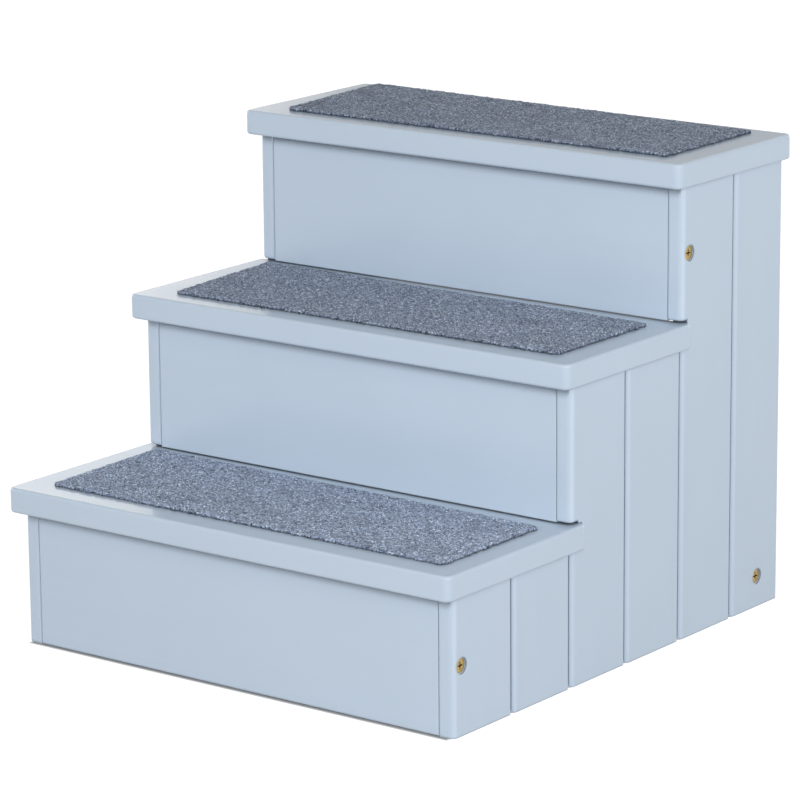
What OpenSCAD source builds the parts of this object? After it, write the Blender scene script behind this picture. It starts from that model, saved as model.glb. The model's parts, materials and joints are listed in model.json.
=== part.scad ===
// Three-step pet stairs: boarded sides, risers between them, treads with carpet mats.
// Millimetres, +Z up, front towards -Y, origin on the floor under the middle of the stairs.

/* [Overall] */
// Width over the outer faces of the two sides
panel_width = 438; // [380:1:520]
// Height from one tread top to the next, and from the floor to the first
rise = 134; // [110:1:150]
// Front-to-back width of each side board; two boards make one step
board_width = 78.5; // [66:0.5:90]
// Front-to-back width of the rearmost side board
last_board_width = 71.5; // [66:0.5:90]

/* [Side boards] */
// Thickness of the side boards
board_t = 14; // [12:0.5:18]
// Radius on the outer long edges of the boards
edge_r = 5; // [2:0.5:6]
// Radius on the outer rear edge of the last board
rear_edge_r = 1.5; // [1:0.5:3]
// Eased inner front edge where a riser meets the side
inner_ease = 0.8; // [0.5:0.1:1.5]
// Open joint left between the shoulders of two boards
board_gap = 0.4; // [0.2:0.1:0.8]
// Thickness of the tongue
tongue_t = 4; // [3:0.5:5]
// Length of the tongue
tongue_len = 5; // [4:0.5:7]
// Clearance of the tongue in its groove, on each face
tongue_clear = 0.15; // [0.1:0.05:0.3]

/* [Treads] */
// Thickness of the treads
tread_t = 21; // [18:0.5:25]
// Overhang of each tread in front of its riser
nosing = 14; // [10:0.5:20]
// Overhang of the treads beyond each side
side_over = 6; // [4:0.5:12]
// Overhang of the top tread behind the sides
rear_over = 6.5; // [4:0.5:12]
// Length of the lowest tread housed in the sides behind the next board's front edge
low_tail = 15; // [8:0.5:18]
// Length of the middle tread housed in the sides behind the next board's front edge
middle_tail = 8; // [8:0.5:18]
// Clearance of a housed tread above and behind it
housing_clear = 0.2; // [0.1:0.1:0.5]
// Height of the open slit over the front of a housing
slit = 1.6; // [0.8:0.1:2]
// Depth of the open slit, back from the board's front edge
slit_depth = 10; // [7:0.5:14]
// Corner radius of the treads seen from above
tread_corner_r = 6.5; // [4.5:0.5:9]
// Radius on the top and bottom edges of the treads
tread_edge_r = 2.5; // [1.5:0.25:4]

/* [Risers and rear rail] */
// Thickness of the risers
riser_t = 21; // [18:0.5:25]
// Distance of a riser's face behind the front edges of the sides
riser_setback = 0.5; // [0.3:0.1:2]
// Joint left at each end of a riser
riser_end_gap = 0.3; // [0.2:0.05:0.6]
// Height of the lowest riser and the rear rail above the floor
floor_gap = 0.5; // [0.3:0.1:2]
// Open slit between a lower tread and the riser over it
riser_slit = 1; // [0.5:0.1:1.5]
// Radius on the upright front edges of the risers
riser_ease = 0.8; // [0.5:0.1:1.5]
// Height of the rear rail
rail_h = 52; // [44:1:60]
// Thickness of the rear rail
rail_t = 21; // [18:0.5:25]
// Distance of the rear rail in front of the rear edges of the sides
rail_inset = 20.5; // [12:0.5:30]

/* [Carpet mats] */
// Thickness of the carpet mats
carpet_t = 4; // [3:0.25:5]
// Bare strip in front of each mat
carpet_front_inset = 19; // [14:1:28]
// Bare strip at each end of a mat
carpet_side_inset = 25; // [14:1:32]
// Bare strip behind each mat
carpet_rear_inset = 18; // [8:1:22]
// Corner radius of the mats seen from above
carpet_corner_r = 5; // [3:0.5:8]
// Radius on the top edges of the mats
carpet_edge_r = 1.75; // [0.5:0.25:2]

/* [Battens] */
// Width of the battens, inwards from the sides
batten_t = 18; // [15:0.5:24]
// Height of the battens
batten_h = 20; // [16:0.5:26]
// Clearance between a batten and the riser in front of it
batten_clear = 0.5; // [0.3:0.1:1]
// Distance of the battens' rear ends in front of the rear edges of the sides
batten_rear_inset = 6; // [3:1:10]
// Chamfer on the battens' free edges
batten_chamfer = 2; // [1:0.5:3]

/* [Fasteners] */
// Diameter of the joint bolts
bolt_d = 6; // [5:0.5:7]
// Diameter of the bolts' countersunk heads
bolt_head_d = 12; // [10:0.1:13]
// Diameter of the recess round each bolt head
bolt_recess_d = 13.6; // [13.2:0.1:15]
// Depth of the recess above the countersink
bolt_recess_depth = 1.8; // [1:0.1:2.4]
// Length of the cross drive in the bolt heads
drive_len = 6; // [4.5:0.25:7]
// Width of the cross drive's arms
drive_w = 1.2; // [0.8:0.1:1.6]
// Depth of the cross drive
drive_depth = 1.8; // [1:0.1:2.2]
// Distance of the barrel nuts from the riser ends
nut_reach = 34; // [28:1:42]
// Diameter of the barrel nuts
nut_d = 10; // [9:0.5:12]
// Length of the barrel nuts
nut_len = 14; // [12:0.5:15]
// Thread that shows past a barrel nut
bolt_past_nut = 2; // [1:0.5:4]
// Diameter of the wooden dowels
dowel_d = 8; // [6:0.5:9]
// Length of a dowel in a riser or the rail
dowel_in_riser = 20; // [14:1:26]
// Length of a dowel in a side board
dowel_in_board = 9; // [6:0.5:10]
// Diameter of the wood screws
screw_d = 3.5; // [3:0.25:4.5]
// Diameter of the wood screws' heads
screw_head_d = 7; // [6:0.25:8]
// Clearance round each fastener
hole_clear = 0.1; // [0.05:0.05:0.2]

/* [Hidden] */
steps = 3;
boards = 2 * steps;
$fn = 48;

paint = "#BCC8D6";
carpet_blue = "#8C97A5";
bare_wood = "#D9BE93";
brass = "#C9A24A";
zinc = "#B9BDC2";

// Extra length of every cutting shape past the face that it opens
overrun = carpet_edge_r;
// Number of facets on a quarter turn of an outline
arc_steps = 6;
// Facets on a full turn of the blended treads and mats
blend_fn = 32;

panel_depth = board_width * (boards - 1) + last_board_width;
outer_x = panel_width / 2;
inner_x = outer_x - board_t;
front_y = (nosing - rear_over - panel_depth) / 2;
rear_y = front_y + panel_depth;

tongue_x = (board_t - edge_r - tongue_t) / 2;
groove_depth = tongue_len + 2 * tongue_clear;
// Rounding of a board's end over a slit, as a share of the radius on its long edges
end_rounding_share = 0.5;
end_r = edge_r * end_rounding_share;

// Dowels stand this share of a riser's height above and below its middle
dowel_shares = [-0.28, 0.28];
// Screws through the battens: place along each board, and depth of the hold in what they enter
board_screw_share = 0.5;
tread_screw_share = 0.76;
screw_hold_share = 0.6;
screw_tip_share = 0.2;
bolt_tip_share = 0.15;
nut_slot_share = 0.14;
countersink_h = (bolt_head_d - bolt_d) / 2;
screw_sink_h = (screw_head_d - screw_d) / 2;

function tread_top(k) = rise * k;
function tread_bottom(k) = rise * k - tread_t;
function step_y(k) = front_y + 2 * board_width * (k - 1);
function board_y(n) = front_y + board_width * (n - 1);
function board_w(n) = n == boards ? last_board_width : board_width;
function step_of(n) = ceil(n / 2);
function is_first(n) = n % 2 == 1;
function tail(k) = k == 1 ? low_tail : middle_tail;
function housing_depth(k) = tail(k) + housing_clear;

function riser_bottom(k) = k == 1 ? floor_gap : tread_top(k - 1) + riser_slit;
function riser_h(k) = tread_bottom(k) - riser_bottom(k);
function riser_mid_z(k) = riser_bottom(k) + riser_h(k) / 2;
function riser_mid_y(k) = step_y(k) + riser_setback + riser_t / 2;
rail_mid_y = rear_y - rail_inset - rail_t / 2;
rail_mid_z = floor_gap + rail_h / 2;

// Each place is [board, y, z]
bolt_places = [[1, riser_mid_y(1), riser_mid_z(1)], [5, riser_mid_y(3), riser_mid_z(3)], [6, rail_mid_y, rail_mid_z]];
dowel_places = concat(
    [for (k = [1:steps], s = dowel_shares) [2 * k - 1, riser_mid_y(k), riser_mid_z(k) + s * riser_h(k)]],
    [for (s = dowel_shares) [boards, rail_mid_y, rail_mid_z + s * rail_h]]);

function arc(x, y, r, from) = [for (i = [0:arc_steps])
    let (a = from + 90 * i / arc_steps) [x + r * cos(a), y + r * sin(a)]];

// Helpers

module both_sides() {
    children();
    mirror([1, 0, 0]) children();
}

module along_x(x, y, z) {
    translate([x, y, z]) rotate([0, 90, 0]) children();
}

// Slab with rounded plan corners and rounded edges, blended from four turned corners
module rounded_slab(x, y_front, y_back, z, t, corner_r, top_r, bottom_r) {
    hull() for (cx = [corner_r - x, x - corner_r], cy = [y_front + corner_r, y_back - corner_r])
        translate([cx, cy, z]) rotate_extrude($fn = blend_fn)
            polygon(concat([[0, 0]], arc(corner_r - bottom_r, bottom_r, bottom_r, 270),
                arc(corner_r - top_r, t - top_r, top_r, 0), [[0, t]]));
}

// Side boards

// Plan of a board: x runs from its inner to its outer face, y back from its front edge
module board_outline(width, exposed, last) {
    rear = last ? width : width - board_gap;
    rear_r = last ? rear_edge_r : edge_r;
    difference() {
        union() {
            polygon(concat(
                exposed ? arc(inner_ease, inner_ease, inner_ease, 180) : [[0, 0]],
                arc(board_t - edge_r, edge_r, edge_r, 270),
                arc(board_t - rear_r, rear - rear_r, rear_r, 0),
                [[0, rear]]));
            if (!last) translate([tongue_x, rear - overrun]) square([tongue_t, tongue_len + overrun]);
        }
        if (!exposed) translate([tongue_x - tongue_clear, -overrun])
            square([tongue_t + 2 * tongue_clear, groove_depth + overrun]);
    }
}

// What rounding takes off an edge that runs through the origin, with the wood at positive x and y
module rounding_profile(r) {
    polygon(concat(arc(r, r, r, 180), [[r, -overrun], [-overrun, -overrun], [-overrun, r]]));
}

// Rounding of a board's end at z = 0, along its front edge, round its corner and back along its outer edge
module end_rounding(back) {
    corner_x = board_t - edge_r;
    translate([-overrun, 0, 0]) rotate([90, 0, 90]) linear_extrude(corner_x + overrun) rounding_profile(end_r);
    translate([corner_x, edge_r, 0]) intersection() {
        rotate_extrude() translate([edge_r, 0]) mirror([1, 0]) rounding_profile(end_r);
        translate([0, -board_t, -board_t]) cube([board_t, board_t, 2 * board_t]);
    }
    translate([board_t, edge_r, 0]) rotate([90, 0, 180]) linear_extrude(back - edge_r) rounding_profile(end_r);
}

// Housing for the tail of the tread below, and the open slit over its front
module tread_housing(k) {
    back = min(slit_depth, housing_depth(k));
    translate([-overrun, -overrun, tread_bottom(k)]) {
        cube([board_t + 2 * overrun, housing_depth(k) + overrun, tread_t + housing_clear]);
        cube([board_t + 2 * overrun, back + overrun, tread_t + slit]);
    }
    translate([0, 0, tread_top(k) + slit]) end_rounding(back);
}

module board_blank(n) {
    k = step_of(n);
    last = n == boards;
    if (is_first(n) && k > 1) {
        split_z = tread_bottom(k - 1) + tread_t / 2;
        difference() {
            union() {
                linear_extrude(split_z) board_outline(board_w(n), false, last);
                translate([0, 0, split_z]) linear_extrude(tread_bottom(k) - split_z)
                    board_outline(board_w(n), true, last);
            }
            tread_housing(k - 1);
        }
    }
    else linear_extrude(tread_bottom(k)) board_outline(board_w(n), n == 1, last);
}

// Recess, countersink and through hole for a joint bolt, cut inwards from the outer face
module bolt_hole() {
    depth = board_t - bolt_recess_depth;
    translate([0, 0, depth]) cylinder(h = bolt_recess_depth + overrun, d = bolt_recess_d);
    translate([0, 0, depth - countersink_h])
        cylinder(h = countersink_h, d1 = bolt_d, d2 = bolt_head_d);
    translate([0, 0, -overrun]) cylinder(h = depth + 2 * overrun, d = bolt_d + 2 * hole_clear);
}

module board(n) {
    color(paint) difference() {
        translate([inner_x, board_y(n), 0]) board_blank(n);
        for (p = bolt_places) if (p[0] == n) along_x(inner_x, p[1], p[2]) bolt_hole();
        for (p = dowel_places) if (p[0] == n)
            along_x(inner_x - overrun, p[1], p[2])
                cylinder(h = dowel_in_board + hole_clear + overrun, d = dowel_d + 2 * hole_clear);
        for (k = [1:step_of(n)])
            along_x(inner_x - overrun, board_screw_y(n), batten_mid_z(k))
                cylinder(h = board_t * screw_hold_share + hole_clear + overrun, d = screw_d + 2 * hole_clear);
    }
}

// Risers and rear rail

// Cuts for the bolt, its barrel nut and the dowels at the right end of a riser or the rail
module joint_bores(places, y, t) {
    for (p = places) {
        along_x(inner_x - nut_reach - nut_d / 2 - bolt_past_nut - hole_clear, p[1], p[2])
            cylinder(h = nut_reach + nut_d / 2 + bolt_past_nut + overrun, d = bolt_d + 2 * hole_clear);
        translate([inner_x - nut_reach, y + t / 2 + overrun, p[2]]) rotate([90, 0, 0])
            cylinder(h = t / 2 + nut_len / 2 + hole_clear + overrun, d = nut_d + 2 * hole_clear);
    }
    for (p = dowel_places) if (p[1] == y)
        along_x(inner_x - dowel_in_riser - hole_clear, p[1], p[2])
            cylinder(h = dowel_in_riser + overrun, d = dowel_d + 2 * hole_clear);
}

module cross_panel(y, z, t, h) {
    w = inner_x - riser_end_gap;
    difference() {
        translate([0, y - t / 2, z]) linear_extrude(h)
            polygon(concat(arc(riser_ease - w, riser_ease, riser_ease, 180),
                arc(w - riser_ease, riser_ease, riser_ease, 270), [[w, t], [-w, t]]));
        both_sides() joint_bores([for (p = bolt_places) if (p[1] == y) p], y, t);
    }
}

module riser(k) {
    color(paint) cross_panel(riser_mid_y(k), riser_bottom(k), riser_t, riser_h(k));
}

module rear_rail() {
    color(paint) cross_panel(rail_mid_y, floor_gap, rail_t, rail_h);
}

// Treads and carpet mats

function tread_front(k) = step_y(k) - nosing;
function tread_back(k) = k == steps ? rear_y + rear_over : step_y(k + 1) + tail(k);
tread_x = outer_x + side_over;

module tread(k) {
    color(paint) difference() {
        rounded_slab(tread_x, tread_front(k), tread_back(k), tread_bottom(k), tread_t,
            tread_corner_r, tread_edge_r, tread_edge_r);
        both_sides() for (n = [2 * k - 1, 2 * k])
            translate([batten_mid_x, tread_screw_y(n), tread_bottom(k) - overrun])
                cylinder(h = tread_t * screw_hold_share + hole_clear + overrun, d = screw_d + 2 * hole_clear);
    }
}

module carpet(k) {
    // A lower mat ends in front of the next riser, the top one in front of the tread's rear edge
    back = k == steps ? tread_back(k) : step_y(k + 1) + riser_setback;
    color(carpet_blue) rounded_slab(tread_x - carpet_side_inset, tread_front(k) + carpet_front_inset,
        back - carpet_rear_inset, tread_top(k), carpet_t, carpet_corner_r, carpet_edge_r, carpet_edge_r / 2);
}

// Battens that tie the boards of a side and carry the treads

function batten_z(k) = tread_bottom(k) - batten_h;
function batten_mid_z(k) = batten_z(k) + batten_h / 2;
function board_screw_y(n) = board_y(n) + board_w(n) * board_screw_share;
function tread_screw_y(n) = board_y(n) + board_w(n) * tread_screw_share;
batten_mid_x = inner_x - batten_t / 2;

module batten(k) {
    start = riser_mid_y(k) + riser_t / 2 + batten_clear;
    length = rear_y - batten_rear_inset - start;
    color(paint) difference() {
        translate([inner_x, start, batten_z(k)]) rotate([90, 0, 180]) linear_extrude(length)
            polygon([[0, 0], [batten_t - batten_chamfer, 0], [batten_t, batten_chamfer],
                [batten_t, batten_h - batten_chamfer], [batten_t - batten_chamfer, batten_h], [0, batten_h]]);
        for (n = [2 * k - 1:boards])
            along_x(inner_x - batten_t, board_screw_y(n), batten_mid_z(k)) screw_hole(batten_t);
        for (n = [2 * k - 1, 2 * k])
            translate([batten_mid_x, tread_screw_y(n), batten_z(k)]) screw_hole(batten_h);
    }
}

// Fasteners

// Joint bolt along +Z with its head's flat top at z = 0 and its shank below
module bolt() {
    length = board_t - bolt_recess_depth + nut_reach + nut_d / 2 + bolt_past_nut;
    tip = bolt_d * bolt_tip_share;
    difference() {
        rotate_extrude() polygon([[0, 0], [bolt_head_d / 2, 0], [bolt_d / 2, -countersink_h],
            [bolt_d / 2, tip - length], [bolt_d / 2 - tip, -length], [0, -length]]);
        for (a = [0, 90]) rotate([0, 0, a]) translate([-drive_len / 2, -drive_w / 2, -drive_depth])
            cube([drive_len, drive_w, drive_depth + overrun]);
    }
}

module side_bolts() {
    color(brass) both_sides() for (p = bolt_places)
        along_x(outer_x - bolt_recess_depth, p[1], p[2]) bolt();
}

// Barrel nut across the bolt, with a slot in the end that faces back
module barrel_nut() {
    slot = nut_d * nut_slot_share;
    difference() {
        rotate([90, 0, 0]) cylinder(h = nut_len, d = nut_d, center = true);
        rotate([0, 90, 0]) cylinder(h = nut_d + 2 * overrun, d = bolt_d + 2 * hole_clear, center = true);
        translate([-nut_d, nut_len / 2 - slot, -slot / 2]) cube([2 * nut_d, slot + overrun, slot]);
    }
}

module barrel_nuts() {
    color(zinc) both_sides() for (p = bolt_places)
        translate([inner_x - nut_reach, p[1], p[2]]) barrel_nut();
}

module dowels() {
    color(bare_wood) both_sides() for (p = dowel_places)
        along_x(inner_x - dowel_in_riser, p[1], p[2]) cylinder(h = dowel_in_riser + dowel_in_board, d = dowel_d);
}

// Hole for a wood screw through a batten, entered from z = 0
module screw_hole(depth) {
    translate([0, 0, -overrun]) cylinder(h = depth + 2 * overrun, d = screw_d + 2 * hole_clear);
    cylinder(h = screw_sink_h, d1 = screw_head_d, d2 = screw_d);
}

// Wood screw along +Z, head first, with its tip past the batten it goes through
module wood_screw(through, hold) {
    tip = hold * screw_tip_share;
    rotate_extrude($fn = blend_fn) polygon([[0, 0], [screw_head_d / 2, 0], [screw_d / 2, screw_sink_h],
        [screw_d / 2, through + hold - tip], [0, through + hold]]);
}

module batten_screws() {
    color(zinc) both_sides() for (k = [1:steps], n = [2 * k - 1:boards])
        along_x(inner_x - batten_t, board_screw_y(n), batten_mid_z(k))
            wood_screw(batten_t, board_t * screw_hold_share);
}

module tread_screws() {
    color(zinc) both_sides() for (k = [1:steps], n = [2 * k - 1, 2 * k])
        translate([batten_mid_x, tread_screw_y(n), batten_z(k)]) wood_screw(batten_h, tread_t * screw_hold_share);
}

for (n = [1:boards]) {
    board(n);
    mirror([1, 0, 0]) board(n);
}
for (k = [1:steps]) {
    riser(k);
    tread(k);
    carpet(k);
    batten(k);
    mirror([1, 0, 0]) batten(k);
}
rear_rail();
side_bolts();
barrel_nuts();
dowels();
batten_screws();
tread_screws();
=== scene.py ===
import json
import math

import bpy
import numpy as np
from mathutils import Matrix, Quaternion, Vector


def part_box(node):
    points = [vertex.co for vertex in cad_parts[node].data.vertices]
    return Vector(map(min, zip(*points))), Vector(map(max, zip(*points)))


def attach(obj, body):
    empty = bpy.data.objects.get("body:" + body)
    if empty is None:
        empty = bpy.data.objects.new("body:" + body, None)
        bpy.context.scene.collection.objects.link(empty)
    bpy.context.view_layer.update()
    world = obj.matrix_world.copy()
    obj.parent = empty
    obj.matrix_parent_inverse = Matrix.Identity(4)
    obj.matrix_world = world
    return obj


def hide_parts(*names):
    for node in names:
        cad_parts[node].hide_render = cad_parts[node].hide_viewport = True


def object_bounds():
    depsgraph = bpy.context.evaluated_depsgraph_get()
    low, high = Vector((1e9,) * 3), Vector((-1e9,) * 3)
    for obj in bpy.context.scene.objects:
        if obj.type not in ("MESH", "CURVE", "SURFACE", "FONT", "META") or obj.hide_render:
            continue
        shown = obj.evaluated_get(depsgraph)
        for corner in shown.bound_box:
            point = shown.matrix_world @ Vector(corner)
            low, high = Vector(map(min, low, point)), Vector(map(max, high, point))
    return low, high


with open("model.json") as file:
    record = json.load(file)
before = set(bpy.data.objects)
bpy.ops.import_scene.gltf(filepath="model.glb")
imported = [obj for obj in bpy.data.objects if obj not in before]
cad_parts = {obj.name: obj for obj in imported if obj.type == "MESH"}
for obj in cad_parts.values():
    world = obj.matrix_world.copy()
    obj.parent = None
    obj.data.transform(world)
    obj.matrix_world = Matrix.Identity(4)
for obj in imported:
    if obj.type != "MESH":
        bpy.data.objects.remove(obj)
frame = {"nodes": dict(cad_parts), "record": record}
cad_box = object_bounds()

# Lengths are in metres and colours are linear. A bump is a strength and a distance, and the other pairs of
# numbers in the finishes and the pile are ranges.

# Camera, fitted to the straight edges of the stairs in the photograph
CAMERA_TARGET = Vector((0.0, 0.00375, 0.201))
CAMERA_YAW = math.radians(37.266)
CAMERA_PITCH = math.radians(14.015)
CAMERA_ROLL = math.radians(-0.506)
CAMERA_OFFSET = (0.005006, 0.010637, 3.3895)
CAMERA_REACH = 100.0
FOCAL_PIXELS = 4081.3
PHOTO_PIXELS = 800
SENSOR_MM = 36.0

# Paint
PAINT = (0.491, 0.584, 0.694)
# Paler thin paint on the edges, and partly a painted highlight there
EDGE_PAINT_AND_HIGHLIGHT = (0.53, 0.62, 0.725)
EDGE_PAINT_AND_HIGHLIGHT_SHARE = 0.5
# A painted highlight on the front-facing arrises of the side boards
PAINTED_ARRIS_HIGHLIGHT = (0.555, 0.658, 0.78)
PAINT_IOR = 1.48
PAINT_BUMP = (0.25, 0.0002)
GLOSS_SIDES = 0.22
GLOSS_TREADS = 0.16
GLOSS_INSIDE = 0.38
GRAIN_UPRIGHT = (70.0, 70.0, 5.0)
GRAIN_ACROSS = (5.0, 70.0, 70.0)
GRAIN_BACK = (70.0, 5.0, 70.0)
CLOUD_SCALE = 11.0
PEEL_SCALE = 620.0
NOISE_MEAN = 0.5
MOTTLE = 0.05
MOTTLE_GRAIN = 0.6
MOTTLE_MEAN = 0.8
SHEEN_SWING = 0.14
PEEL_HEIGHT = 0.45
GRAIN_HEIGHT = 0.55

# Edges of the painted boards
EDGE_RADIUS = 0.0012
SIDE_EDGE_RADIUS = 0.003
EDGE_SAMPLES = 6
EDGE_TURN = (0.995, 0.85)
# Arrises turned toward the front, where the highlight is painted
ARRIS_HIGHLIGHT_OFF_SIDE = (-0.05, -0.3)
ARRIS_HIGHLIGHT_OFF_FRONT = (0.5, 0.9)

# Painted shade in the joints and under the nosings
# The dark blue-grey of the painted shade, and how much of it each part gets
PAINTED_SHADE = (0.025, 0.038, 0.060)
PAINTED_SHADE_SIDES = 0.75
PAINTED_SHADE_TREADS = 0.4
JOINT_REACH = 0.0026
NOSING_REACH = 0.016
NOSING_ZONE = (0.034, 0.037)
CLOSE_SAMPLES = 8
OPEN_PAINT = (0.65, 0.8)
FRONT_FACE = (-0.95, -0.85)
OUTER_FACE = (0.7, 0.97)
FLOOR_LINE = (0.001, 0.004)

# Metal and bare wood
BRASS = (0.48, 0.345, 0.125)
BRASS_DULLNESS = 0.28
ZINC = (0.52, 0.53, 0.54)
NUT_DULLNESS = 0.35
SCREW_DULLNESS = 0.3
TARNISH = (0.2, 0.17, 0.12)
TARNISH_PATCHES = (0.45, 0.75)
TARNISH_SHARE = 0.45
# Painted shade in the recesses of the bolts, nuts and screws
METAL_HOLLOW_SHADE = (0.030, 0.022, 0.012)
HOLLOW_REACH = 0.0022
OPEN_METAL = (0.35, 0.85)
PATCH_SCALE = 340.0
PATCH_ROUGHNESS = 0.15
SCRATCH_STRETCH = (1.0, 4.0, 0.4)
SCRATCH_SCALE = 1500.0
METAL_BUMP = (0.2, 0.0001)
BEECH = (0.58, 0.38, 0.21)
BEECH_GRAIN = (0.40, 0.23, 0.11)
FLECK_STRETCH = (40.0, 900.0, 900.0)
FLECK_COLOUR = (0.42, 0.7)
FLECK_RANGE = (0.3, 0.7)
BEECH_ROUGHNESS = (0.6, 0.75)
BEECH_BUMP = (0.3, 0.0002)

# Yarn: shades by their place in the mix, then its tufts, fibres and patches
YARN_DARK = (0.022, 0.034, 0.064)
YARN_BLUE = (0.140, 0.186, 0.285)
YARN_MID = (0.285, 0.355, 0.490)
YARN_LIGHT = (0.700, 0.800, 0.940)
YARN_MIX = ((0.0, YARN_DARK), (0.22, YARN_BLUE), (0.55, YARN_MID), (0.78, YARN_MID), (0.98, YARN_LIGHT))
YARN_STRETCH = (1.0, 1.0, 0.8)
TUFT_SCALE = 850.0
FIBRE_SCALE = 1900.0
FIBRE_TONES = (0.78, 1.22)
YARN_PATCH_SCALE = 42.0
YARN_PATCH_TONES = (0.92, 1.08)
YARN_NOISE = (0.3, 0.7)
# Painted shade down in the pile: darker near the mat and on the rim tufts
PILE_DEPTH = (0.0005, 0.0029)
ROOT_SHADE_TO_TIP = (0.3, 1.15)
YARN_BUMP = (0.6, 0.0006)
# One yarn made lighter or darker on each tread: painted light and shade
MAT_LIGHT_AND_SHADE = {1: 1.17, 2: 0.95, 3: 0.86}

# Carpet mats: corners from the middle of the tread's front edge, front left, then round to the right
MAT_CORNERS = {
    1: ((-0.1972, 0.026), (0.202, 0.024), (0.2025, 0.150), (-0.201, 0.160)),
    2: ((-0.1915, 0.023), (0.1985, 0.024), (0.1995, 0.150), (-0.203, 0.160)),
    3: ((-0.1935, 0.021), (0.1965, 0.023), (0.195, 0.154), (-0.2055, 0.164)),
}
MAT_FLAT = (0.396, 0.130)
MAT_CORNER_R = 0.003
MAT_PILE = 0.0030
MAT_EDGE_LINES = (0.0, 0.0003, 0.0008, 0.0016, 0.0028)
MAT_STEP = 0.0016
MAT_SHOULDER = 0.0008
MAT_EDGE_HEIGHT = 0.0016
MAT_UNDER_PILE = 0.0022
MAT_LOOPS = 0.00045
MAT_SWELL = 0.00015
MAT_EDGE_WAVE = 0.0008
MAT_WAVE_ZONE = 0.012
MAT_SEED = 40

# Pile: tufts on the mat's top, then those round its rim
PILE_SEED = 70
TUFTS_PER_MAT = 9500
TUFT_INSET = 0.0006
TUFT_FOOT = 0.0008
TUFT_UNDER_PILE = 0.0024
TUFT_LEAN = 0.0005
TUFT_RISE = (0.0012, 0.0021)
TUFT_RADIUS = (0.0006, 0.0011)
RIM_TUFTS_PER_MAT = 2200
RIM_INSET = 0.0008
RIM_FOOT = (0.0006, MAT_PILE - 0.0016)
RIM_REACH = (0.0003, 0.0011)
RIM_LEAN = 0.0003
RIM_RISE = (0.0, 0.0011)
RIM_RADIUS = (0.0005, 0.0008)

# Studio: each softbox has an azimuth and an elevation in degrees, a distance, a width, a height and a power
STAIRS_MIDDLE = (0.0, 0.0, 0.2)
SOFTBOXES = {
    "softbox_front": (-10, 15, 3.4, 2.2, 2.2, 45.0),
    "softbox_corner": (50, 15, 2.3, 1.5, 1.5, 27.3),
    "softbox_side": (110, 15, 2.5, 1.6, 1.6, 18.4),
    "softbox_left": (-70, 15, 3.4, 2.2, 2.2, 12.0),
    "softbox_left_rear": (-100, 8, 3.4, 2.2, 1.0, 20.0),
    "softbox_back": (170, 8, 3.4, 2.2, 1.0, 20.0),
}
CARD_PLACE = (-3.67, 3.49, 1.23)
CARD_SIZE = (1.8, 0.8)
CARD_POWER = 5.5
CARD_TILT = 44.0
FLOOR_COLOUR = 0.35
FLOOR_SEEN = 0.88
FLOOR_HALF = 15.0
FOOTPRINT_FADE = 0.004
STAND_IN = 0.008
WORLD_LIGHT = 0.3
WORLD_SEEN = 1.0
HORIZON_SEEN = 0.45
HORIZON_RISE = (0.185, 0.215)


# Node building

def add(tree, kind, **settings):
    """A node of that kind with its settings, in a tree."""
    made = tree.nodes.new(kind)
    for name, value in settings.items():
        setattr(made, name, value)
    return made


def join(tree, source, target):
    """Links a socket or a plain value to an input socket."""
    if isinstance(source, bpy.types.NodeSocket):
        tree.links.new(source, target)
    else:
        target.default_value = source


def maths(tree, operation, first, second=0.0):
    """The result of one Math node."""
    made = add(tree, "ShaderNodeMath", operation=operation)
    join(tree, first, made.inputs[0])
    join(tree, second, made.inputs[1])
    return made.outputs[0]


def opaque(colour):
    """A colour of three numbers with full opacity; anything else as it is."""
    return (*colour, 1.0) if isinstance(colour, tuple) and len(colour) == 3 else colour


def mix_colours(tree, factor, first, second):
    """The result of one colour Mix node."""
    made = add(tree, "ShaderNodeMix", data_type="RGBA")
    join(tree, factor, made.inputs["Factor"])
    join(tree, opaque(first), made.inputs[6])
    join(tree, opaque(second), made.inputs[7])
    return made.outputs[2]


def scale_colour(tree, colour, factor):
    """A colour made lighter or darker by a factor."""
    made = add(tree, "ShaderNodeVectorMath", operation="SCALE")
    join(tree, colour, made.inputs[0])
    join(tree, factor, made.inputs["Scale"])
    return made.outputs[0]


def spread(tree, value, given=(0.0, 1.0), wanted=(0.0, 1.0)):
    """A value carried from one range to another, and held inside it."""
    made = add(tree, "ShaderNodeMapRange", clamp=True)
    for socket, number in zip(made.inputs[:5], (value, *given, *wanted)):
        join(tree, number, socket)
    return made.outputs[0]


def split_axes(tree, vector):
    """The three parts of a vector, by the names X, Y and Z."""
    made = add(tree, "ShaderNodeSeparateXYZ")
    join(tree, vector, made.inputs[0])
    return made.outputs


def object_place(tree):
    return add(tree, "ShaderNodeTexCoord").outputs["Object"]


def surface_normal(tree):
    return add(tree, "ShaderNodeNewGeometry").outputs["Normal"]


def stretched_place(tree, scale=(1.0, 1.0, 1.0)):
    """Object coordinates, scaled differently along each axis."""
    made = add(tree, "ShaderNodeVectorMath", operation="MULTIPLY")
    join(tree, object_place(tree), made.inputs[0])
    join(tree, scale, made.inputs[1])
    return made.outputs[0]


def noise(tree, place, scale, detail=2.0, roughness=0.5):
    """The height of a Noise texture at a place."""
    made = add(tree, "ShaderNodeTexNoise")
    join(tree, place, made.inputs["Vector"])
    join(tree, scale, made.inputs["Scale"])
    made.inputs["Detail"].default_value = detail
    made.inputs["Roughness"].default_value = roughness
    return made.outputs[0]


def openness(tree, reach):
    """1 where nothing stands within reach, and less in joints and hollows."""
    made = add(tree, "ShaderNodeAmbientOcclusion", samples=CLOSE_SAMPLES)
    join(tree, reach, made.inputs["Distance"])
    return made.outputs["AO"]


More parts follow.
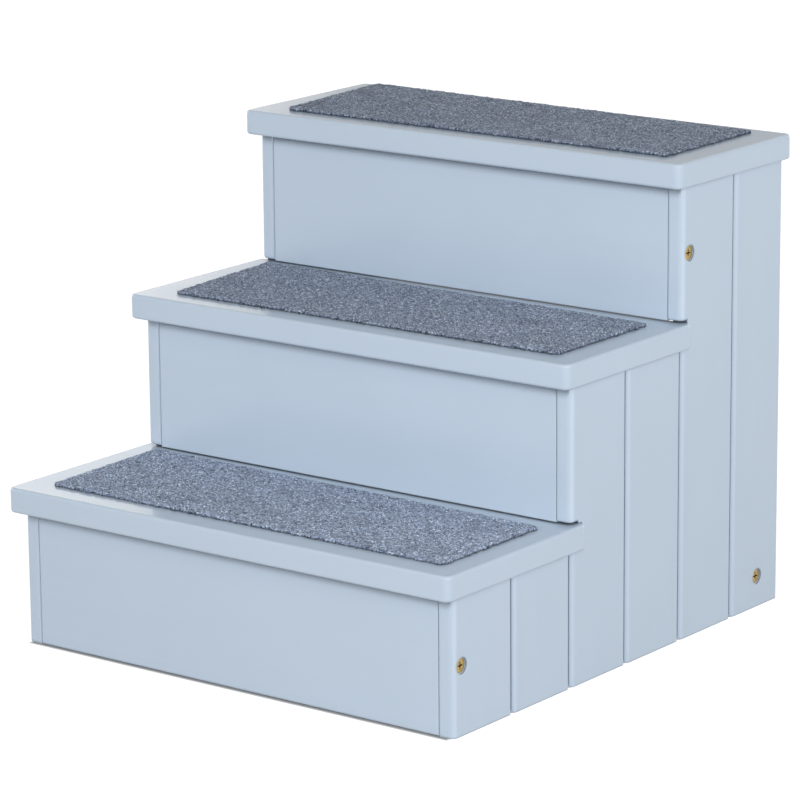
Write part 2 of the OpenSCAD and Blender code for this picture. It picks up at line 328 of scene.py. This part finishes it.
def new_group(name, inputs, outputs):
    """An empty group with its named sockets; returns it with its input and output nodes."""
    group = bpy.data.node_groups.new(name, "ShaderNodeTree")
    for label, kind, value in inputs:
        made = group.interface.new_socket(label, in_out="INPUT", socket_type=kind)
        made.default_value = value
    for label, kind in outputs:
        group.interface.new_socket(label, in_out="OUTPUT", socket_type=kind)
    return group, add(group, "NodeGroupInput"), add(group, "NodeGroupOutput")


def place_group(tree, group, **values):
    """A group in a material, with its own values."""
    made = add(tree, "ShaderNodeGroup", node_tree=group)
    for label, value in values.items():
        join(tree, value, made.inputs[label.replace("_", " ")])
    return made


COLOUR = "NodeSocketColor"
NUMBER = "NodeSocketFloat"
VECTOR = "NodeSocketVector"


# Finishes

def paint_coat_group():
    """Sprayed satin paint: soft mottling, faint marks along the grain and a fine orange peel."""
    group, given, result = new_group(
        "paint_coat",
        [("Paint", COLOUR, opaque(PAINT)), ("Grain Scale", VECTOR, GRAIN_UPRIGHT),
         ("Mottle", NUMBER, MOTTLE), ("Gloss", NUMBER, GLOSS_SIDES)],
        [("Color", COLOUR), ("Roughness", NUMBER), ("Height", NUMBER)])
    place = stretched_place(group)
    grain_place = stretched_place(group, given.outputs["Grain Scale"])
    grain = noise(group, grain_place, scale=1.0, detail=4.0, roughness=0.6)
    clouds = noise(group, place, CLOUD_SCALE, detail=3.0)
    peel = noise(group, place, PEEL_SCALE, detail=1.5)
    swing = maths(group, "ADD", clouds, maths(group, "MULTIPLY", grain, MOTTLE_GRAIN))
    swing = maths(group, "SUBTRACT", swing, MOTTLE_MEAN)
    lift = maths(group, "ADD", maths(group, "MULTIPLY", swing, given.outputs["Mottle"]), 1.0)
    join(group, scale_colour(group, given.outputs["Paint"], lift), result.inputs["Color"])
    sheen = maths(group, "MULTIPLY", maths(group, "SUBTRACT", clouds, NOISE_MEAN), SHEEN_SWING)
    join(group, maths(group, "ADD", given.outputs["Gloss"], sheen), result.inputs["Roughness"])
    height = maths(group, "ADD", maths(group, "MULTIPLY", peel, PEEL_HEIGHT),
                   maths(group, "MULTIPLY", grain, GRAIN_HEIGHT))
    join(group, height, result.inputs["Height"])
    return group


def soft_edge_group():
    """Edges eased by the paint: a rounded normal, a mask of edges, and a mask of the front-facing arrises
    that get a painted highlight.
    """
    group, given, result = new_group(
        "soft_edge", [("Radius", NUMBER, EDGE_RADIUS)],
        [("Normal", VECTOR), ("Edge", NUMBER), ("Arris Highlight", NUMBER)])
    bevel = add(group, "ShaderNodeBevel", samples=EDGE_SAMPLES)
    join(group, given.outputs["Radius"], bevel.inputs["Radius"])
    turn = add(group, "ShaderNodeVectorMath", operation="DOT_PRODUCT")
    join(group, bevel.outputs[0], turn.inputs[0])
    join(group, surface_normal(group), turn.inputs[1])
    join(group, bevel.outputs[0], result.inputs["Normal"])
    join(group, spread(group, turn.outputs["Value"], EDGE_TURN), result.inputs["Edge"])
    # Arrises turned toward the front get a painted highlight
    facing = split_axes(group, bevel.outputs[0])
    off_side = spread(group, facing["Y"], ARRIS_HIGHLIGHT_OFF_SIDE)
    off_front = spread(group, maths(group, "ABSOLUTE", facing["X"]), ARRIS_HIGHLIGHT_OFF_FRONT)
    join(group, maths(group, "MULTIPLY", off_side, off_front), result.inputs["Arris Highlight"])
    return group


def joint_painted_shade_group():
    """Painted shade in the joints and under the nosings: 1 on open paint, and 0 where other wood stands
    close.
    """
    group, given, result = new_group(
        "joint_painted_shade", [("Rise", NUMBER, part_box("tread_1")[1].z), ("Strength", NUMBER, 1.0)],
        [("Unshaded", NUMBER)])
    facing = split_axes(group, surface_normal(group))
    place = split_axes(group, object_place(group))
    step_height = maths(group, "MODULO", place["Z"], given.outputs["Rise"])
    below_nosing = maths(group, "SUBTRACT", given.outputs["Rise"], step_height)
    near_nosing = spread(group, below_nosing, NOSING_ZONE, (1.0, 0.0))
    front_face = spread(group, facing["Y"], FRONT_FACE, (1.0, 0.0))
    under_nosing = maths(group, "MULTIPLY", near_nosing, front_face)
    reach = spread(group, under_nosing, wanted=(JOINT_REACH, NOSING_REACH))
    unshaded = spread(group, openness(group, reach), OPEN_PAINT)
    outer_face = spread(group, maths(group, "ABSOLUTE", facing["X"]), OUTER_FACE)
    at_floor = spread(group, place["Z"], FLOOR_LINE, (1.0, 0.0))
    unshaded = maths(group, "MAXIMUM", unshaded, maths(group, "MAXIMUM", outer_face, at_floor))
    weak = maths(group, "SUBTRACT", 1.0, given.outputs["Strength"])
    join(group, maths(group, "MAXIMUM", unshaded, weak), result.inputs["Unshaded"])
    return group


def metal_skin_group():
    """Turned and plated metal: fine scratches, dull patches and painted shade in the hollows."""
    group, given, result = new_group(
        "metal_skin", [("Metal", COLOUR, opaque(ZINC)), ("Dullness", NUMBER, SCREW_DULLNESS)],
        [("Color", COLOUR), ("Roughness", NUMBER), ("Height", NUMBER)])
    patches = noise(group, stretched_place(group), PATCH_SCALE, detail=3.0)
    scratches = noise(group, stretched_place(group, SCRATCH_STRETCH), SCRATCH_SCALE)
    tarnish = spread(group, patches, TARNISH_PATCHES, (0.0, TARNISH_SHARE))
    dull = mix_colours(group, tarnish, given.outputs["Metal"], TARNISH)
    # Painted shade where the metal is hollow
    open_metal = spread(group, openness(group, HOLLOW_REACH), OPEN_METAL)
    join(group, mix_colours(group, open_metal, METAL_HOLLOW_SHADE, dull), result.inputs["Color"])
    rough = maths(group, "ADD", given.outputs["Dullness"], maths(group, "MULTIPLY", patches, PATCH_ROUGHNESS))
    join(group, rough, result.inputs["Roughness"])
    join(group, scratches, result.inputs["Height"])
    return group


def heather_yarn_group():
    """Mixed blue-grey yarn: one shade a tuft, fine fibres, and painted shade that makes the roots darker than
    the tips.
    """
    group, given, result = new_group(
        "heather_yarn",
        [("Tread Height", NUMBER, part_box("tread_1")[1].z), ("Tuft Scale", NUMBER, TUFT_SCALE),
         ("Tone", NUMBER, 1.0)],
        [("Color", COLOUR), ("Height", NUMBER)])
    place = stretched_place(group, YARN_STRETCH)
    tufts = add(group, "ShaderNodeTexVoronoi")
    join(group, place, tufts.inputs["Vector"])
    join(group, given.outputs["Tuft Scale"], tufts.inputs["Scale"])
    shade = add(group, "ShaderNodeSeparateColor")
    join(group, tufts.outputs["Color"], shade.inputs[0])
    ramp = add(group, "ShaderNodeValToRGB")
    join(group, shade.outputs[0], ramp.inputs[0])
    stops = ramp.color_ramp.elements
    while len(stops) < len(YARN_MIX):
        stops.new(0.5)
    for stop, (place_in_mix, colour) in zip(stops, YARN_MIX):
        stop.position = place_in_mix
        stop.color = opaque(colour)
    fibres = spread(group, noise(group, place, FIBRE_SCALE), YARN_NOISE, FIBRE_TONES)
    patches = spread(group, noise(group, place, YARN_PATCH_SCALE), YARN_NOISE, YARN_PATCH_TONES)
    height = split_axes(group, object_place(group))["Z"]
    above = maths(group, "SUBTRACT", height, given.outputs["Tread Height"])
    # Painted shade at the roots of the pile
    root_shade = spread(group, above, PILE_DEPTH, ROOT_SHADE_TO_TIP)
    lift = maths(group, "MULTIPLY", maths(group, "MULTIPLY", fibres, patches), root_shade)
    lift = maths(group, "MULTIPLY", lift, given.outputs["Tone"])
    join(group, scale_colour(group, ramp.outputs[0], lift), result.inputs["Color"])
    join(group, maths(group, "SUBTRACT", fibres, tufts.outputs["Distance"]), result.inputs["Height"])
    return group


def new_material(name):
    """A material with a Principled shader; returns it, its tree and the shader."""
    material = bpy.data.materials.new(name)
    material.use_nodes = True
    return material, material.node_tree, material.node_tree.nodes["Principled BSDF"]


def add_bump(tree, shader, height, bump_settings, normal=None):
    """Sends a height to the shader's Normal, with a strength and a distance."""
    bump = add(tree, "ShaderNodeBump")
    strength, distance = bump_settings
    bump.inputs["Strength"].default_value = strength
    bump.inputs["Distance"].default_value = distance
    join(tree, height, bump.inputs["Height"])
    if normal is not None:
        join(tree, normal, bump.inputs["Normal"])
    join(tree, bump.outputs[0], shader.inputs["Normal"])


def paint_material(name, groups, grain_scale, gloss, painted_shade_strength=1.0, edge_radius=EDGE_RADIUS, arris_highlight=0.0):
    """Paint on wood: paler on its edges with a painted highlight there, a painted highlight on its front
    arrises, and painted shade in its joints and under the nosings.
    """
    coat, edge, painted_shade = groups
    material, tree, shader = new_material(name)
    coated = place_group(tree, coat, Paint=opaque(PAINT), Grain_Scale=grain_scale, Mottle=MOTTLE, Gloss=gloss)
    eased = place_group(tree, edge, Radius=edge_radius)
    # Paler paint on the edges, partly a painted highlight
    colour = mix_colours(tree, maths(tree, "MULTIPLY", eased.outputs["Edge"], EDGE_PAINT_AND_HIGHLIGHT_SHARE),
                         coated.outputs["Color"], EDGE_PAINT_AND_HIGHLIGHT)
    # A painted highlight on the front-facing arrises
    colour = mix_colours(tree, maths(tree, "MULTIPLY", eased.outputs["Arris Highlight"], arris_highlight), colour, PAINTED_ARRIS_HIGHLIGHT)
    # Painted shade: darker in the joints and under the nosings, where shade falls
    shaded = place_group(tree, painted_shade, Rise=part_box("tread_1")[1].z, Strength=painted_shade_strength)
    join(tree, mix_colours(tree, shaded.outputs["Unshaded"], PAINTED_SHADE, colour), shader.inputs["Base Color"])
    join(tree, coated.outputs["Roughness"], shader.inputs["Roughness"])
    shader.inputs["IOR"].default_value = PAINT_IOR
    add_bump(tree, shader, coated.outputs["Height"], PAINT_BUMP, eased.outputs["Normal"])
    return material


def metal_material(name, skin, colour, dullness):
    """Plated or turned metal for the bolts, nuts and screws."""
    material, tree, shader = new_material(name)
    plated = place_group(tree, skin, Metal=opaque(colour), Dullness=dullness)
    join(tree, plated.outputs["Color"], shader.inputs["Base Color"])
    join(tree, plated.outputs["Roughness"], shader.inputs["Roughness"])
    shader.inputs["Metallic"].default_value = 1.0
    add_bump(tree, shader, plated.outputs["Height"], METAL_BUMP)
    return material


def beech_material(name):
    """Plain beech for the dowels, with short flecks along the grain."""
    material, tree, shader = new_material(name)
    flecks = noise(tree, stretched_place(tree, FLECK_STRETCH), scale=1.0, detail=3.0)
    colour = mix_colours(tree, spread(tree, flecks, FLECK_COLOUR), BEECH, BEECH_GRAIN)
    join(tree, colour, shader.inputs["Base Color"])
    join(tree, spread(tree, flecks, FLECK_RANGE, BEECH_ROUGHNESS), shader.inputs["Roughness"])
    add_bump(tree, shader, flecks, BEECH_BUMP)
    return material


def carpet_material(name, yarn, tread_height, tone):
    """Yarn for one tread's mat and pile, made lighter or darker for that tread as painted light and shade."""
    material, tree, shader = new_material(name)
    heather = place_group(tree, yarn, Tread_Height=tread_height, Tuft_Scale=TUFT_SCALE, Tone=tone)
    join(tree, heather.outputs["Color"], shader.inputs["Base Color"])
    shader.inputs["Roughness"].default_value = 0.95
    shader.inputs["Specular IOR Level"].default_value = 0.2
    shader.inputs["Sheen Weight"].default_value = 0.15
    shader.inputs["Sheen Roughness"].default_value = 0.5
    add_bump(tree, shader, heather.outputs["Height"], YARN_BUMP)
    return material


def dress_frame():
    """Gives every CAD piece that shows its finish."""
    coats = (paint_coat_group(), soft_edge_group(), joint_painted_shade_group())
    skin = metal_skin_group()
    finishes = {
        "painted_boards": paint_material("painted_boards", coats, GRAIN_UPRIGHT, GLOSS_SIDES, PAINTED_SHADE_SIDES,
                                         SIDE_EDGE_RADIUS, arris_highlight=1.0),
        "painted_panels": paint_material("painted_panels", coats, GRAIN_ACROSS, GLOSS_SIDES),
        "painted_treads": paint_material("painted_treads", coats, GRAIN_ACROSS, GLOSS_TREADS, PAINTED_SHADE_TREADS),
        "painted_battens": paint_material("painted_battens", coats, GRAIN_BACK, GLOSS_INSIDE),
        "brass_bolts": metal_material("brass_bolts", skin, BRASS, BRASS_DULLNESS),
        "zinc_nuts": metal_material("zinc_nuts", skin, ZINC, NUT_DULLNESS),
        "zinc_screws": metal_material("zinc_screws", skin, ZINC, SCREW_DULLNESS),
        "bare_wood": beech_material("bare_wood"),
    }
    slots = {part["node"]: part["material_slot"] for part in frame["record"]["subparts"]}
    for name, part in frame["nodes"].items():
        if slots[name] in finishes:
            part.data.materials.clear()
            part.data.materials.append(finishes[slots[name]])


# Carpet mats

def mat_lines(length):
    """Grid lines across a mat, as shares of its length, close together at both edges."""
    last = MAT_EDGE_LINES[-1]
    count = round((length - 2 * last) / MAT_STEP)
    middle = np.linspace(last, length - last, count + 1)[1:-1]
    return np.concatenate([MAT_EDGE_LINES, middle, [length - e for e in reversed(MAT_EDGE_LINES)]]) / length


def smooth_noise(rng, u, waves, low, high):
    """A sum of random sine waves along a row of values, each of low to high turns."""
    total = np.zeros_like(u)
    for _ in range(waves):
        turns = rng.uniform(low, high)
        total += np.sin(2 * math.pi * (turns * u + rng.uniform())) / waves ** 0.5
    return total


def mat_frame(k):
    """The four corners of a mat in plan, and the height of the tread under it."""
    low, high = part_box(f"tread_{k}")
    return np.array([(x, low.y + y) for x, y in MAT_CORNERS[k]]), high.z


def mat_plan(corners, s, t, rng):
    """Plan points of a mat for shares s across and t back, with round corners and a slightly wavy edge."""
    front_left, front_right, rear_right, rear_left = corners
    width = 0.5 * (np.linalg.norm(front_right - front_left) + np.linalg.norm(rear_right - rear_left))
    depth = 0.5 * (np.linalg.norm(rear_left - front_left) + np.linalg.norm(rear_right - front_right))
    across = (s - 0.5) * width
    back = (t - 0.5) * depth
    core = np.array([0.5 * width - MAT_CORNER_R, 0.5 * depth - MAT_CORNER_R])
    over = np.stack([np.abs(across) - core[0], np.abs(back) - core[1]], -1)
    corner = (over > 0).all(-1)
    reach = over.max(-1) / np.maximum(np.linalg.norm(over, axis=-1), 1e-9)
    across = np.where(corner, np.sign(across) * (core[0] + over[..., 0] * reach), across)
    back = np.where(corner, np.sign(back) * (core[1] + over[..., 1] * reach), back)
    s = across / width + 0.5
    t = back / depth + 0.5
    from_edge = np.minimum(0.5 * depth - np.abs(back), 0.5 * width - np.abs(across))
    wave = MAT_EDGE_WAVE * np.clip(1 - from_edge / MAT_WAVE_ZONE, 0, 1)
    s = s + wave * smooth_noise(rng, t, waves=6, low=4, high=16) / width
    t = t + wave * smooth_noise(rng, s, waves=9, low=8, high=60) / depth
    s = s[..., None]
    t = t[..., None]
    return ((1 - s) * (1 - t) * front_left + s * (1 - t) * front_right
            + s * t * rear_right + (1 - s) * t * rear_left)


def mat_shoulder(s, t):
    """0 on the mat's edge, and 1 where its top is level."""
    inside = np.minimum(np.minimum(s, 1 - s) * MAT_FLAT[0], np.minimum(t, 1 - t) * MAT_FLAT[1])
    return np.sqrt(np.clip(1 - (1 - np.clip(inside / MAT_SHOULDER, 0, 1)) ** 2, 0, 1))


def mesh_object(name, points, faces, material, smooth=True):
    """A new piece with its mesh and material."""
    mesh = bpy.data.meshes.new(name)
    mesh.from_pydata([tuple(p) for p in points], [], faces)
    mesh.materials.append(material)
    mesh.polygons.foreach_set("use_smooth", [smooth] * len(mesh.polygons))
    mesh.validate()
    made = bpy.data.objects.new(name, mesh)
    bpy.context.scene.collection.objects.link(made)
    return made


def make_mat(k, material):
    """The mat of one tread: a closed sheet with a flat back and a top of short loops."""
    rng = np.random.default_rng(MAT_SEED + k)
    corners, tread_z = mat_frame(k)
    s, t = np.meshgrid(mat_lines(MAT_FLAT[0]), mat_lines(MAT_FLAT[1]), indexing="ij")
    plan = mat_plan(corners, s, t, rng)
    shoulder = mat_shoulder(s, t)
    loops = rng.uniform(-1, 1, s.shape)
    swell = (smooth_noise(rng, s, waves=5, low=2, high=7)
             * smooth_noise(rng, t, waves=4, low=1, high=4))
    height = MAT_PILE - MAT_UNDER_PILE + MAT_LOOPS * loops + MAT_SWELL * swell
    top = tread_z + MAT_EDGE_HEIGHT + height * shoulder
    rows, columns = s.shape
    count = rows * columns
    points = np.concatenate([
        np.concatenate([plan, top[..., None]], -1).reshape(-1, 3),
        np.concatenate([plan, np.full(s.shape + (1,), tread_z)], -1).reshape(-1, 3)])
    faces = []
    for i in range(rows - 1):
        for j in range(columns - 1):
            a = i * columns + j
            ring = (a, a + columns, a + columns + 1, a + 1)
            faces.append(ring)
            faces.append(tuple(count + v for v in reversed(ring)))
    rim = ([i * columns for i in range(rows)]
           + [(rows - 1) * columns + j for j in range(1, columns)]
           + [i * columns + columns - 1 for i in range(rows - 2, -1, -1)]
           + [j for j in range(columns - 2, 0, -1)])
    for a, b in zip(rim, rim[1:] + rim[:1]):
        faces.append((a, a + count, b + count, b))
    return mesh_object(f"mat_{k}", points, faces, material)


def grow_tufts(rng, foot, tip, radius):
    """Corners of small pyramids: three at the foot of each, turned at random, and one at its tip."""
    count = len(foot)
    radius = rng.uniform(*radius, count)
    turn = rng.uniform(0, 2 * math.pi, count)
    points = np.repeat(foot[:, None, :], 4, axis=1)
    for corner in range(3):
        angle = turn + corner * 2 * math.pi / 3
        points[:, corner, 0] += radius * np.cos(angle)
        points[:, corner, 1] += radius * np.sin(angle)
    points[:, 3] = tip
    return points


def top_tufts(k, rng):
    """Tufts that stand on the mat's top and lean a little."""
    corners, tread_z = mat_frame(k)
    s, t = (rng.uniform(TUFT_INSET / side, 1 - TUFT_INSET / side, TUFTS_PER_MAT) for side in MAT_FLAT)
    plan = mat_plan(corners, s, t, np.random.default_rng(MAT_SEED + k))
    foot_z = tread_z + TUFT_FOOT + (MAT_PILE - TUFT_UNDER_PILE) * mat_shoulder(s, t)
    foot = np.column_stack([plan, foot_z])
    lean = rng.normal(0, TUFT_LEAN, (TUFTS_PER_MAT, 2))
    tip = foot + np.column_stack([lean, rng.uniform(*TUFT_RISE, TUFTS_PER_MAT)])
    return grow_tufts(rng, foot, tip, TUFT_RADIUS)


def rim_tufts(k, rng):
    """Tufts that stick out round the mat's rim."""
    corners, tread_z = mat_frame(k)
    width, depth = MAT_FLAT
    around = rng.uniform(0, 2 * (width + depth), RIM_TUFTS_PER_MAT)
    ends = np.cumsum([width, depth, width, depth])
    side = np.searchsorted(ends, around)
    share = (around - np.concatenate([[0.0], ends])[side]) / np.array(MAT_FLAT * 2)[side]
    left = np.full_like(share, RIM_INSET / width)
    front = np.full_like(share, RIM_INSET / depth)
    s = np.choose(side, [share, 1 - left, 1 - share, left])
    t = np.choose(side, [front, share, 1 - front, 1 - share])
    plan = mat_plan(corners, s, t, np.random.default_rng(MAT_SEED + k))
    outward = np.array([(0.0, -1.0), (1.0, 0.0), (0.0, 1.0), (-1.0, 0.0)])[side]
    foot = np.column_stack([plan, tread_z + rng.uniform(*RIM_FOOT, RIM_TUFTS_PER_MAT)])
    reach = outward * rng.uniform(*RIM_REACH, (RIM_TUFTS_PER_MAT, 1))
    reach = reach + rng.normal(0, RIM_LEAN, (RIM_TUFTS_PER_MAT, 2))
    tip = foot + np.column_stack([reach, rng.uniform(*RIM_RISE, RIM_TUFTS_PER_MAT)])
    return grow_tufts(rng, foot, tip, RIM_RADIUS)


def make_pile(k, material):
    """The pile of a mat: small pyramids with closed bases, on its top and round its rim."""
    rng = np.random.default_rng(PILE_SEED + k)
    points = np.concatenate([top_tufts(k, rng), rim_tufts(k, rng)])
    faces = []
    for tuft in range(len(points)):
        a = 4 * tuft
        faces += [(a, a + 1, a + 3), (a + 1, a + 2, a + 3), (a + 2, a, a + 3), (a + 2, a + 1, a)]
    return mesh_object(f"pile_{k}", points.reshape(-1, 3), faces, material)


def make_carpets(yarn):
    """A mat with its pile on each tread, in place of the CAD's plain slabs."""
    for k in (1, 2, 3):
        material = carpet_material(f"carpet_{k}_yarn", yarn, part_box(f"tread_{k}")[1].z, MAT_LIGHT_AND_SHADE[k])
        mat = make_mat(k, material)
        pile = make_pile(k, material)
        for piece in (mat, pile):
            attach(piece, "root")
        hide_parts(f"carpet_{k}")


# Studio

def seen_directly(tree):
    """1 for rays that show the background: from the camera, off gloss or through glass."""
    path = add(tree, "ShaderNodeLightPath")
    seen = maths(tree, "MAXIMUM", path.outputs["Is Camera Ray"], path.outputs["Is Glossy Ray"])
    return maths(tree, "MAXIMUM", seen, path.outputs["Is Transmission Ray"])


def make_world():
    """White where it is seen, darker near the horizon in gloss, and a soft even light everywhere else."""
    world = bpy.data.worlds.new("studio")
    bpy.context.scene.world = world
    world.use_nodes = True
    tree = world.node_tree
    ground = tree.nodes["Background"]
    ground.inputs["Color"].default_value = (1.0, 1.0, 1.0, 1.0)
    rise = split_axes(tree, add(tree, "ShaderNodeTexCoord").outputs["Generated"])["Z"]
    dimming = spread(tree, rise, HORIZON_RISE, (1.0 - HORIZON_SEEN, 0.0))
    in_gloss = maths(tree, "MULTIPLY", add(tree, "ShaderNodeLightPath").outputs["Is Glossy Ray"], dimming)
    strength = spread(tree, seen_directly(tree), wanted=(WORLD_LIGHT, WORLD_SEEN))
    strength = maths(tree, "MULTIPLY", strength, maths(tree, "SUBTRACT", 1.0, in_gloss))
    join(tree, strength, ground.inputs["Strength"])


def clear_of_stairs(tree):
    """0 on the floor under the stairs, and 1 just outside them."""
    low, high = cad_box
    place = split_axes(tree, object_place(tree))
    over = []
    for axis, reach in (("X", 0.5 * (high.x - low.x)), ("Y", 0.5 * (high.y - low.y))):
        past = maths(tree, "SUBTRACT", maths(tree, "ABSOLUTE", place[axis]), reach - STAND_IN)
        over.append(spread(tree, past, (-FOOTPRINT_FADE, 0.0)))
    return maths(tree, "MAXIMUM", *over)


def make_floor():
    """A pale floor that keeps the shadow of the stairs, and isn't seen from below."""
    material, tree, shader = new_material("studio_floor")
    shader.inputs["Base Color"].default_value = (FLOOR_COLOUR, FLOOR_COLOUR, FLOOR_COLOUR, 1.0)
    shader.inputs["Roughness"].default_value = 0.9
    shader.inputs["Specular IOR Level"].default_value = 0.0
    shader.inputs["Emission Color"].default_value = (1.0, 1.0, 1.0, 1.0)
    glow = maths(tree, "MULTIPLY", seen_directly(tree), FLOOR_SEEN)
    join(tree, maths(tree, "MULTIPLY", glow, clear_of_stairs(tree)), shader.inputs["Emission Strength"])
    clear = add(tree, "ShaderNodeBsdfTransparent")
    choice = add(tree, "ShaderNodeMixShader")
    join(tree, add(tree, "ShaderNodeNewGeometry").outputs["Backfacing"], choice.inputs[0])
    join(tree, shader.outputs[0], choice.inputs[1])
    join(tree, clear.outputs[0], choice.inputs[2])
    join(tree, choice.outputs[0], tree.nodes["Material Output"].inputs["Surface"])
    half = FLOOR_HALF
    corners = [(-half, -half, 0), (half, -half, 0), (half, half, 0), (-half, half, 0)]
    floor = mesh_object("studio_floor", corners, [(0, 1, 2, 3)], material, smooth=False)


def round_stairs(azimuth, elevation, distance):
    """A place seen from the middle of the stairs: azimuth 0 is in front of them, and 90 to their right."""
    level = distance * math.cos(math.radians(elevation))
    turn = math.radians(azimuth)
    lift = distance * math.sin(math.radians(elevation))
    return Vector(STAIRS_MIDDLE) + Vector((level * math.sin(turn), -level * math.cos(turn), lift))


def add_softbox(name, place, width, height, power, tilt=0.0):
    """A rectangular lamp that looks at the middle of the stairs, turned by tilt about its own axis."""
    lamp = bpy.data.lights.new(name, "AREA")
    lamp.shape = "RECTANGLE"
    lamp.size = width
    lamp.size_y = height
    lamp.energy = power
    made = bpy.data.objects.new(name, lamp)
    made.location = place
    facing = (Vector(STAIRS_MIDDLE) - Vector(place)).to_track_quat("-Z", "Y")
    made.rotation_euler = (facing @ Quaternion((0.0, 0.0, 1.0), math.radians(tilt))).to_euler()
    bpy.context.scene.collection.objects.link(made)


def make_lamps():
    """The softboxes round the stairs, and the white card that shows in the gloss of the treads."""
    for name, (azimuth, elevation, distance, width, height, power) in SOFTBOXES.items():
        add_softbox(name, round_stairs(azimuth, elevation, distance), width, height, power)
    add_softbox("white_card", CARD_PLACE, *CARD_SIZE, CARD_POWER, CARD_TILT)


def make_camera():
    """The photograph's camera: its axes from yaw, pitch and roll, its place from the offset along them."""
    sin_yaw, cos_yaw = math.sin(CAMERA_YAW), math.cos(CAMERA_YAW)
    sin_pitch, cos_pitch = math.sin(CAMERA_PITCH), math.cos(CAMERA_PITCH)
    sin_roll, cos_roll = math.sin(CAMERA_ROLL), math.cos(CAMERA_ROLL)
    forward = Vector((-sin_yaw * cos_pitch, cos_yaw * cos_pitch, -sin_pitch))
    level = Vector((cos_yaw, sin_yaw, 0.0))
    upright = level.cross(forward)
    right = level * cos_roll + upright * sin_roll
    up = upright * cos_roll - level * sin_roll
    aside, above, away = CAMERA_OFFSET
    place = CAMERA_TARGET - forward * away - right * aside - up * above
    data = bpy.data.cameras.new("photo_camera")
    data.sensor_width = SENSOR_MM
    data.lens = FOCAL_PIXELS / PHOTO_PIXELS * SENSOR_MM
    data.clip_end = CAMERA_REACH
    camera = bpy.data.objects.new("photo_camera", data)
    camera.matrix_world = Matrix.Translation(place) @ Matrix((right, up, -forward)).transposed().to_4x4()
    bpy.context.scene.collection.objects.link(camera)
    bpy.context.scene.camera = camera


def main():
    make_camera()
    make_world()
    make_floor()
    make_lamps()
    dress_frame()
    make_carpets(heather_yarn_group())
    bpy.context.scene.view_settings.view_transform = "Standard"


main()
